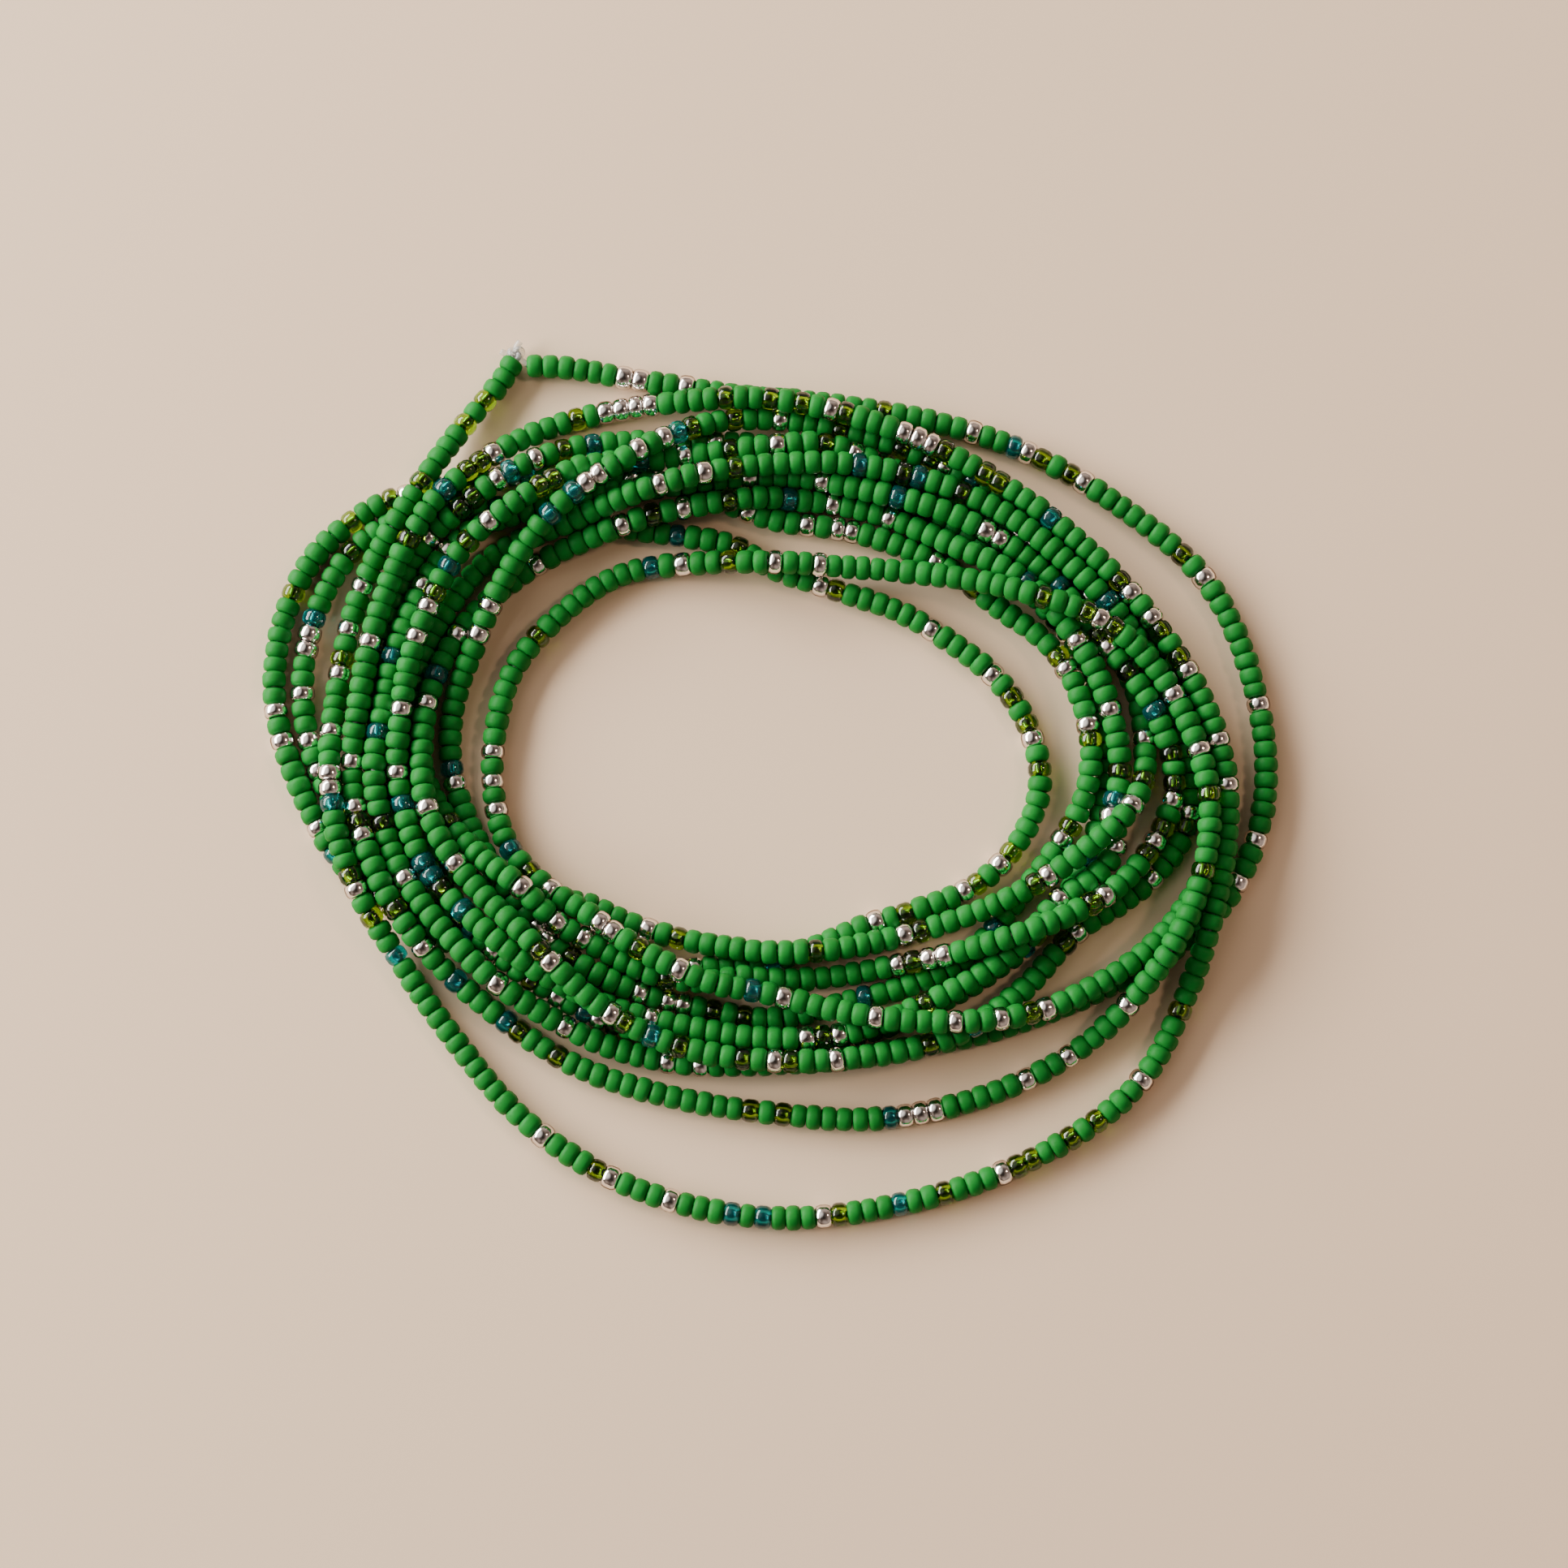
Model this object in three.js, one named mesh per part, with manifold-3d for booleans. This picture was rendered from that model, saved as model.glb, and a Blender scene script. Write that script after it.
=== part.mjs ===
// A long stretch bracelet of glass seed beads on clear elastic, lying flat in a loose oval coil.
// Millimetres, +Z up. The origin is on the surface it lies on, under the middle of the coil.
import * as THREE from "three";
import { mergeVertices } from "three/addons/utils/BufferGeometryUtils.js";
import Module from "manifold-3d";

// Driving dimensions
const beadDiameter = 2.3; // a size 10/0 seed bead, across
const beadPitch = 1.5; // from one bead to the next along the elastic
const beadShoulder = 0.25; // how far the string's plain tube lies inside the beads' widest lines
const beadClearance = 0.05; // between beads of two turns that lie against each other
const elasticDiameter = 0.7; // clear stretch cord
const knotWidth = 1.9; // the knot, across
const knotHeight = 1.5;
const knotNest = 0.3; // how far the knot sits in between the two end beads
const tailLength = 0.8; // the clipped ends of the elastic, beyond the knot
const tailSpread = 55; // degrees to each side
const seatGap = 0.3; // between the end beads and the elastic that comes out of them
const coilFlattening = 0.83; // the coil's depth as a share of its width

const stringDiameter = beadDiameter - 2 * beadShoulder;

// How the coil settles
const beadsPerStep = 3; // the tube has one step for each three beads, about two diameters
const stringSides = 8;
const elasticSides = 8;
const loopSteps = 8;
const knotBands = 8;
const knotSides = 14;
const settleRounds = 400;
const pull = 0.3; // how strongly each bead keeps its place in plan
const fall = 0.04; // mm that a bead drops in one round
const viewpoint = [1.2, -49.6, 356.5]; // the route's places are as seen from here, in mm
const stiffness = [0.5, 0.5, 0.15]; // how far a bead's shift in plan and its height follow its neighbours'
const reach = 1.53; // bead diameters within which two beads are watched for contact
const watchRounds = 20; // rounds between two lists of such pairs
const routeStep = 0.5; // degrees from one point of the drawn route to the next
const curveDivisions = 12; // lengths measured between two points of a tube's line
const nearestAlong = Math.ceil((reach * beadDiameter) / beadPitch) + 1; // a bead's neighbours don't count

// The route of the string, turn by turn from the outer end at the knot back to the knot, chosen by eye.
// Each row: clock angle in degrees (0 right, 90 top), distance from the middle in mm, layer in the pile.
const route = [
  // the outermost turn, from the knot
  [[116.6, 56.6, 0], [118, 55.6, 0], [120, 54.6, 0], [127, 51.9, 1], [135, 49.4, 3], [150, 46.3, 2],
   [165, 43.6, 2], [180, 42.2, 3], [195, 41.5, 2], [210, 41.0, 0], [225, 42.4, 0], [240, 45.6, 0],
   [255, 48.3, 0], [270, 49.8, 0], [285, 49.8, 0], [300, 49.8, 0], [315, 49.3, 0], [330, 46.4, 1],
   [345, 44.6, 1]],
  // second turn
  [[0, 43.9, 2], [15, 42.9, 2], [30, 41.8, 2], [45, 41.8, 2], [60, 42.8, 2], [75, 44.7, 2], [90, 46.5, 3],
   [105, 47.4, 3], [120, 48.3, 2], [135, 47.2, 2], [150, 43.9, 2], [165, 41.3, 2], [180, 40.5, 2],
   [195, 39.1, 2], [210, 38.1, 1], [225, 37.3, 1], [240, 37.4, 0], [255, 37.2, 0], [270, 37.8, 0],
   [285, 39.8, 0], [300, 41.3, 0], [315, 42.4, 2], [330, 42.4, 4], [345, 42.9, 4]],
  // the turn that dives to the inner edge of the coil at the top
  [[0, 42.6, 4], [15, 40.9, 4], [30, 38.4, 4], [45, 33.6, 4], [60, 29.5, 3], [75, 27.2, 3], [90, 26.9, 3],
   [105, 27.7, 2], [120, 29.3, 1], [135, 29.1, 1], [150, 28.8, 1], [165, 27.7, 1], [180, 27.0, 1],
   [195, 26.5, 1], [210, 25.0, 2], [225, 23.5, 2], [240, 23.1, 2], [255, 23.5, 3], [270, 24.1, 3],
   [285, 27.1, 3], [300, 31.6, 4], [315, 36.8, 4], [325, 39.6, 3], [332, 41.6, 1], [345, 43.1, 1]],
  // fourth turn, low on the right and crossing inwards at the top left
  [[0, 43.2, 1], [15, 42.0, 1], [30, 41.5, 1], [45, 41.2, 1], [60, 41.4, 1], [75, 42.1, 1], [90, 44.3, 2],
   [97, 44.2, 2], [105, 43.0, 3], [115.5, 40.9, 4], [120, 40.1, 4], [135, 36.5, 4], [150, 33.8, 3],
   [165, 32.3, 1], [180, 30.8, 1], [195, 29.1, 1], [210, 27.6, 1], [225, 27.3, 1], [240, 26.9, 1],
   [255, 26.6, 1], [270, 27.0, 1], [285, 26.0, 1], [300, 26.5, 0], [315, 27.2, 0], [330, 26.9, 0],
   [345, 28.4, 0]],
  // fifth turn, which runs out to the left edge under the others
  [[0, 30.9, 1], [15, 32.0, 1], [30, 32.3, 1], [45, 30.9, 1], [60, 31.5, 1], [75, 31.7, 1], [90, 32.4, 1],
   [105, 37.6, 0], [120, 43.5, 0], [135, 49.0, 0], [141, 50.8, 0], [150, 52.2, 0], [165, 50.1, 0],
   [180, 45.6, 0], [195, 41.1, 0], [210, 35.4, 0], [225, 30.6, 0], [240, 25.6, 0], [255, 21.9, 0],
   [270, 20.3, 0], [285, 19.1, 0], [300, 18.7, 0], [315, 20.2, 0], [330, 22.8, 0], [345, 24.7, 0]],
  // sixth turn, innermost on the right, then out to the left beside the fifth and back under the pile
  [[0, 26.0, 0], [15, 26.0, 0], [30, 25.5, 0], [45, 24.6, 0], [60, 24.4, 0], [75, 24.4, 0], [90, 26.2, 0],
   [97, 29.0, 0], [105, 30.9, 0], [112, 32.9, 0], [120, 36.4, 0], [135, 46.5, 0], [141.5, 49.9, 0],
   [150, 49.8, 0], [165, 47.2, 0], [175.5, 44.4, 0], [180, 43.0, 0], [195, 39.0, 0], [210, 33.9, 1],
   [225, 31.9, 1], [240, 31.5, 0], [255, 30.6, 0], [270, 30.4, 0], [285, 30.6, 0], [300, 29.8, 0],
   [315, 30.2, 0], [330, 30.9, 0], [345, 31.9, 0]],
  // seventh turn, hidden on the right and innermost at the bottom
  [[0, 32.4, 0], [15, 33.1, 0], [30, 33.9, 0], [45, 34.6, 0], [60, 36.1, 0], [75, 38.2, 0], [90, 40.9, 0],
   [105, 42.9, 1], [116, 45.0, 2], [124, 45.7, 2], [138.5, 44.8, 1], [150, 42.1, 1], [165, 40.3, 0],
   [180, 37.8, 0], [192, 33.9, 0], [202, 29.9, 0], [210, 26.0, 0], [216, 22.6, 0], [225, 21.3, 0],
   [240, 20.0, 0], [255, 19.3, 0], [270, 19.3, 0], [285, 19.6, 2], [300, 20.6, 2], [315, 22.7, 2],
   [330, 26.2, 3], [345, 30.5, 4]],
  // eighth turn, hidden on the right and on top at the left
  [[0, 35.6, 3], [9, 36.7, 2], [15, 37.2, 1], [30, 37.6, 0], [45, 38.3, 0], [60, 38.6, 0], [75, 39.9, 0],
   [83, 41.1, 1], [90, 40.6, 1], [105, 40.5, 2], [117, 42.6, 2], [120, 42.4, 2], [135, 41.8, 3],
   [150, 39.6, 3], [165, 37.6, 3], [180, 36.4, 3], [195, 35.1, 2], [210, 32.4, 2], [225, 30.7, 2],
   [240, 29.5, 1], [255, 29.1, 1], [270, 29.3, 1], [285, 29.5, 1], [300, 29.2, 1], [315, 29.8, 1],
   [325, 30.3, 1], [335, 30.9, 1], [340, 32.7, 1], [348, 34.0, 1], [355, 32.9, 1]],
  // ninth turn, in the middle of the band
  [[0, 33.7, 2], [15, 34.3, 2], [30, 35.2, 2], [45, 35.4, 2], [60, 34.1, 2], [75, 34.6, 2], [90, 35.0, 2],
   [105, 34.9, 2], [120, 34.9, 2], [135, 35.3, 2], [150, 35.7, 2], [165, 35.2, 2], [180, 33.9, 2],
   [195, 31.7, 3], [210, 30.2, 3], [225, 29.9, 3], [240, 30.5, 3], [255, 31.3, 3], [270, 31.7, 3],
   [285, 32.5, 3], [300, 33.9, 2], [315, 33.9, 1], [330, 33.9, 1], [344, 38.3, 1], [351.5, 40.1, 1]],
  // tenth turn, which slips inwards at the left and out again at the lower right
  [[0, 40.7, 1], [15, 40.3, 1], [30, 39.8, 2], [45, 39.4, 2], [60, 39.8, 2], [75, 39.6, 2], [90, 38.8, 2],
   [105, 38.1, 2], [120, 37.8, 2], [135, 38.7, 2], [150, 37.4, 2], [165, 36.1, 1], [180, 33.2, 1],
   [195, 29.7, 2], [205, 27.1, 2], [218, 25.9, 1], [225, 25.3, 1], [240, 25.0, 1], [255, 23.2, 1],
   [262, 22.0, 1], [270, 22.2, 1], [285, 22.8, 1], [300, 24.0, 2], [315, 26.9, 3], [330, 31.2, 4],
   [345, 36.3, 3]],
  // last turn, which comes out to the knot
  [[0, 39.1, 3], [15, 38.1, 3], [30, 36.6, 2], [45, 37.1, 2], [60, 37.2, 2], [75, 36.8, 2], [90, 36.7, 1],
   [105, 37.2, 1], [120, 39.4, 1], [135, 43.0, 2], [150, 41.3, 2], [165, 39.0, 1], [180, 38.5, 1],
   [195, 37.2, 2], [210, 35.1, 2], [225, 33.9, 1], [240, 33.6, 1], [255, 32.7, 1], [270, 31.2, 1],
   [285, 31.7, 1], [300, 33.6, 1], [315, 37.0, 1], [330, 41.3, 0], [342, 45.4, 0], [352.5, 47.2, 0]],
  [[0, 47.9, 0], [15, 48.5, 0], [30, 49.1, 0], [45, 47.9, 0], [60, 47.2, 0], [75, 46.3, 0], [82, 46.1, 0], [90, 46.4, 0],
   [97, 47.6, 0], [105, 50.4, 0], [112, 54.3, 0], [115.4, 56.0, 0]],
];

// The route's radius and layer as smooth functions of the clock angle, counted on through the turns:
// between two rows each is a cubic whose slope at a row is that from the row before to the row after.
function followRoute() {
  const rows = route.flatMap((turn, k) => turn.map(([clock, ...rest]) => [clock + 360 * k, ...rest]));
  const slope = (k, column) => {
    const before = rows[Math.max(k - 1, 0)];
    const after = rows[Math.min(k + 1, rows.length - 1)];
    return (after[column] - before[column]) / (after[0] - before[0]);
  };
  const points = [];
  for (let k = 0; k < rows.length - 1; k++) {
    const span = rows[k + 1][0] - rows[k][0];
    const count = Math.ceil(span / routeStep);
    for (let n = 0; n < count; n++) {
      const t = n / count;
      const cubic = (column) =>
        (2 * t ** 3 - 3 * t ** 2 + 1) * rows[k][column] +
        (t ** 3 - 2 * t ** 2 + t) * span * slope(k, column) +
        (3 * t ** 2 - 2 * t ** 3) * rows[k + 1][column] +
        (t ** 3 - t ** 2) * span * slope(k + 1, column);
      const angle = THREE.MathUtils.degToRad(rows[k][0] + t * span);
      const radius = cubic(1);
      points.push([
        radius * Math.cos(angle),
        coilFlattening * radius * Math.sin(angle),
        beadDiameter * (0.5 + Math.max(cubic(2), 0)),
      ]);
    }
  }
  return points;
}

// One point for each bead, evenly spaced along the route.
function placeBeads(points) {
  const along = [0];
  for (let k = 1; k < points.length; k++)
    along.push(along[k - 1] + Math.hypot(points[k][0] - points[k - 1][0], points[k][1] - points[k - 1][1]));
  const total = along[along.length - 1];
  const count = Math.round(total / beadPitch);
  const beads = [];
  let k = 0;
  for (let n = 0; n <= count; n++) {
    const here = (total * n) / count;
    while (k < along.length - 2 && along[k + 1] < here) k++;
    const t = (here - along[k]) / (along[k + 1] - along[k]);
    beads.push([0, 1, 2].map((axis) => points[k][axis] + t * (points[k + 1][axis] - points[k][axis])));
  }
  return beads;
}

// Lets the string fall and settle: each round every bead drops a little, is drawn towards its place in
// plan and towards the height of its neighbours, is pushed off the beads it touches and the surface,
// and keeps its distance to the next bead on the elastic.
function settle(beads) {
  const home = beads.map((p) => [...p]);
  const last = beads.length - 1;
  const floor = stringDiameter / 2;
  // how far a bead lies off the line of sight from the viewpoint to its place in plan
  const aside = (p, place, axis) =>
    p[axis] - place[axis] - ((viewpoint[axis] - place[axis]) * p[2]) / viewpoint[2];
  let pairs = [];
  for (let round = 0; round < settleRounds; round++) {
    if (round % watchRounds === 0) pairs = nearPairs(beads, reach * beadDiameter);
    const ease = 1 - round / settleRounds; // the pulls fade out, and the contacts have the last word
    const shift = beads.map((p, i) => [aside(p, home[i], 0), aside(p, home[i], 1), p[2]]);
    beads.forEach((p, i) => {
      for (let axis = 0; axis < 3; axis++) {
        const level = (shift[Math.max(i - 1, 0)][axis] + shift[Math.min(i + 1, last)][axis]) / 2;
        p[axis] += stiffness[axis] * (level - shift[i][axis]);
      }
      p[0] -= ease * pull * shift[i][0];
      p[1] -= ease * pull * shift[i][1];
      p[2] -= ease * fall;
    });
    const links = beads.slice(1).map((p, i) => [i, i + 1]);
    spread(beads, links, (length) => length - beadPitch);
    spread(beads, pairs, (length) => Math.min(length - beadDiameter - beadClearance, 0));
    for (const p of beads) p[2] = Math.max(p[2], floor);
  }
  return beads;
}

// Moves the two beads of each pair towards each other by what the pair is too long, half each, all at
// once. A bead that is in several pairs moves by less in each.
function spread(beads, pairs, excess) {
  const moves = beads.map(() => [0, 0, 0, 0]);
  for (const [i, j] of pairs) {
    const d = [0, 1, 2].map((axis) => beads[j][axis] - beads[i][axis]);
    const length = Math.hypot(...d);
    const share = (0.5 * excess(length)) / length;
    if (share === 0) continue;
    for (let axis = 0; axis < 3; axis++) {
      moves[i][axis] += share * d[axis];
      moves[j][axis] -= share * d[axis];
    }
    moves[i][3]++;
    moves[j][3]++;
  }
  beads.forEach((p, i) => {
    for (let axis = 0; axis < 3; axis++) p[axis] += moves[i][axis] / Math.max(1, moves[i][3] / 2);
  });
}

// All pairs of beads within a distance in plan, other than near neighbours on the string.
function nearPairs(beads, distance) {
  const cells = new Map();
  const cell = (v) => Math.floor(v / distance);
  beads.forEach((p, i) => {
    const key = cell(p[0]) + "," + cell(p[1]);
    if (!cells.has(key)) cells.set(key, []);
    cells.get(key).push(i);
  });
  const pairs = [];
  beads.forEach((p, i) => {
    for (let a = -1; a <= 1; a++)
      for (let b = -1; b <= 1; b++)
        for (const j of cells.get(cell(p[0]) + a + "," + (cell(p[1]) + b)) ?? [])
          if (j - i >= nearestAlong && Math.hypot(p[0] - beads[j][0], p[1] - beads[j][1]) < distance)
            pairs.push([i, j]);
  });
  return pairs;
}

// A smooth line through points whose sections stand upright, so that a flat side stays underneath.
class UprightCurve extends THREE.CatmullRomCurve3 {
  computeFrenetFrames(segments) {
    const frames = { tangents: [], normals: [], binormals: [] };
    for (let k = 0; k <= segments; k++) {
      const tangent = this.getTangentAt(k / segments);
      const side = new THREE.Vector3(0, 0, 1).cross(tangent).normalize();
      frames.tangents.push(tangent);
      frames.normals.push(side);
      frames.binormals.push(tangent.clone().cross(side));
    }
    return frames;
  }
}

// A round bar of flat sides along a smooth line through points, closed at both ends.
function tube(points, diameter, sides, steps) {
  const path = new UprightCurve(points.map((p) => new THREE.Vector3(...p)));
  path.arcLengthDivisions = curveDivisions * points.length;
  const section = new THREE.Shape();
  for (let k = 0; k < sides; k++) {
    const angle = ((k + 0.5) / sides) * 2 * Math.PI;
    const radius = diameter / 2 / Math.cos(Math.PI / sides);
    const place = [radius * Math.cos(angle), radius * Math.sin(angle)];
    if (k === 0) section.moveTo(...place);
    else section.lineTo(...place);
  }
  section.closePath();
  return new THREE.ExtrudeGeometry(section, { extrudePath: path, steps, bevelEnabled: false });
}

const beads = settle(placeBeads(followRoute()));

// The elastic between the end beads, its knot and the two clipped tails, as one solid.
async function tieKnot() {
  const wasm = await Module();
  wasm.setup();
  const solid = (geometry) => {
    geometry.deleteAttribute("normal");
    geometry.deleteAttribute("uv");
    const merged = mergeVertices(geometry, 1e-4);
    const { array } = merged.attributes.position;
    const mesh = { numProp: 3, vertProperties: array, triVerts: merged.index.array };
    return new wasm.Manifold(new wasm.Mesh(mesh));
  };
  const point = (k) => new THREE.Vector3(...beads.at(k));
  const outOf = (k, next) => point(k).sub(point(next)).normalize();
  const firstOut = outOf(0, 1);
  const lastOut = outOf(-1, -2);
  const away = firstOut.clone().add(lastOut).normalize();
  const distance = (beadPitch + knotWidth) / 2 - knotNest;
  const middle = point(0).add(point(-1)).multiplyScalar(0.5).addScaledVector(away, distance);
  const fromFirst = point(0).addScaledVector(firstOut, seatGap);
  const fromLast = point(-1).addScaledVector(lastOut, seatGap);
  const loop = [fromFirst, middle, fromLast].map((p) => p.toArray());
  const quarter = Math.PI / 2;
  const profile = new THREE.EllipseCurve(0, 0, knotWidth / 2, knotHeight / 2, -quarter, quarter);
  const rim = profile.getPoints(knotBands);
  rim[0].x = rim[knotBands].x = 0;
  const lump = new THREE.LatheGeometry(rim, knotSides).rotateX(quarter).translate(...middle.toArray());
  let knot = solid(tube(loop, elasticDiameter, elasticSides, loopSteps)).add(solid(lump));
  for (const turn of [-tailSpread, tailSpread]) {
    const way = away.clone().applyAxisAngle(new THREE.Vector3(0, 0, 1), THREE.MathUtils.degToRad(turn));
    const end = middle.clone().addScaledVector(way, knotWidth / 2 + tailLength);
    knot = knot.add(solid(tube([middle.toArray(), end.toArray()], elasticDiameter, elasticSides, 1)));
  }
  const made = knot.getMesh();
  return new THREE.BufferGeometry()
    .setAttribute("position", new THREE.BufferAttribute(made.vertProperties, 3))
    .setIndex(new THREE.BufferAttribute(made.triVerts, 1));
}

const green = new THREE.MeshStandardMaterial({ color: 0x238c32, roughness: 0.6, metalness: 0 });
const clear = new THREE.MeshStandardMaterial({ color: 0xe8e8e0, roughness: 0.2, metalness: 0 });

function addPiece(group, name, geometry, material) {
  const piece = new THREE.Mesh(geometry, material);
  piece.name = name;
  group.add(piece);
}

const bracelet = new THREE.Group();
const steps = Math.round((beads.length - 1) / beadsPerStep);
addPiece(bracelet, "bead_string", tube(beads, stringDiameter, stringSides, steps), green);
addPiece(bracelet, "elastic_knot", await tieKnot(), clear);

// The origin goes under the middle of the whole coil, knot included.
const middle = new THREE.Box3().setFromObject(bracelet).getCenter(new THREE.Vector3());
for (const piece of bracelet.children) piece.position.set(-middle.x, -middle.y, 0);

export default bracelet;
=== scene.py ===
# A long stretch bracelet: seed beads on clear elastic, lying in a loose oval coil.
import math
import bpy
import numpy as np
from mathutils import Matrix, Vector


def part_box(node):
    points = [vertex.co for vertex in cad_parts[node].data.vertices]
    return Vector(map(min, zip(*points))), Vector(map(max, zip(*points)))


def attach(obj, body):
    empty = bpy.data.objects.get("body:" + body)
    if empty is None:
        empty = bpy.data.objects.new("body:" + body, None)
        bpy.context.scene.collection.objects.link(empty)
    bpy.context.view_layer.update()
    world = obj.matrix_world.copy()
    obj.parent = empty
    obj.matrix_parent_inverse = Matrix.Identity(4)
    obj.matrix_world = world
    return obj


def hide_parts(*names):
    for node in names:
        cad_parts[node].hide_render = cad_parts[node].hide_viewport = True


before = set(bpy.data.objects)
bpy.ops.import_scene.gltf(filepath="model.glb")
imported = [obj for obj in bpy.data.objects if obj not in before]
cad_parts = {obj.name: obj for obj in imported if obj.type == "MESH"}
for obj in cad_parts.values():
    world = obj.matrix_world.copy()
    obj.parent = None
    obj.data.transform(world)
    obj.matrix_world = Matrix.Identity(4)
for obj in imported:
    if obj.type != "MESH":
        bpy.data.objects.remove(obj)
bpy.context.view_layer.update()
mm = 0.001

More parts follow.
